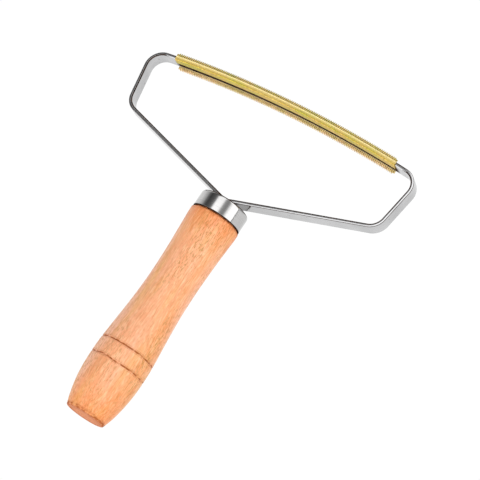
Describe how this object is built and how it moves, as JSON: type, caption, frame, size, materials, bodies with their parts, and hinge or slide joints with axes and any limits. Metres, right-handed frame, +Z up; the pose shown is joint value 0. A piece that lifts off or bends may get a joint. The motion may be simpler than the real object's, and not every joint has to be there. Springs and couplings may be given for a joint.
{
  "type": "lint brush",
  "caption": "Hand lint brush: turned wooden handle, polished ferrule and a flat steel strip loop whose bowed top bar carries toothed brass scraper blades for lifting lint off cloth.",
  "frame": {"origin": "on the table under the middle of the brush's bounding box, as it lies on the handle's belly and shoulder", "axes": "+X across the head, +Y along the brush from the handle's butt to the head, +Z up out of the plane of the loop"},
  "size_m": [0.1468, 0.1712, 0.0269],
  "materials": {
    "handle_wood": "sanded and thinly lacquered turned hardwood",
    "ferrule_steel": "polished drawn steel",
    "strip_steel": "bright flat strip with polished edges",
    "blade_brass": "satin rolled sheet with stamped teeth",
    "cured_adhesive": "cured resin"
  },
  "bodies": {
    "root": {"handle": "handle_wood", "ferrule": "ferrule_steel", "frame_strip": "strip_steel", "inner_blade": "blade_brass", "outer_blade": "blade_brass", "adhesive_plug": "cured_adhesive"}
  },
  "joints": []
}
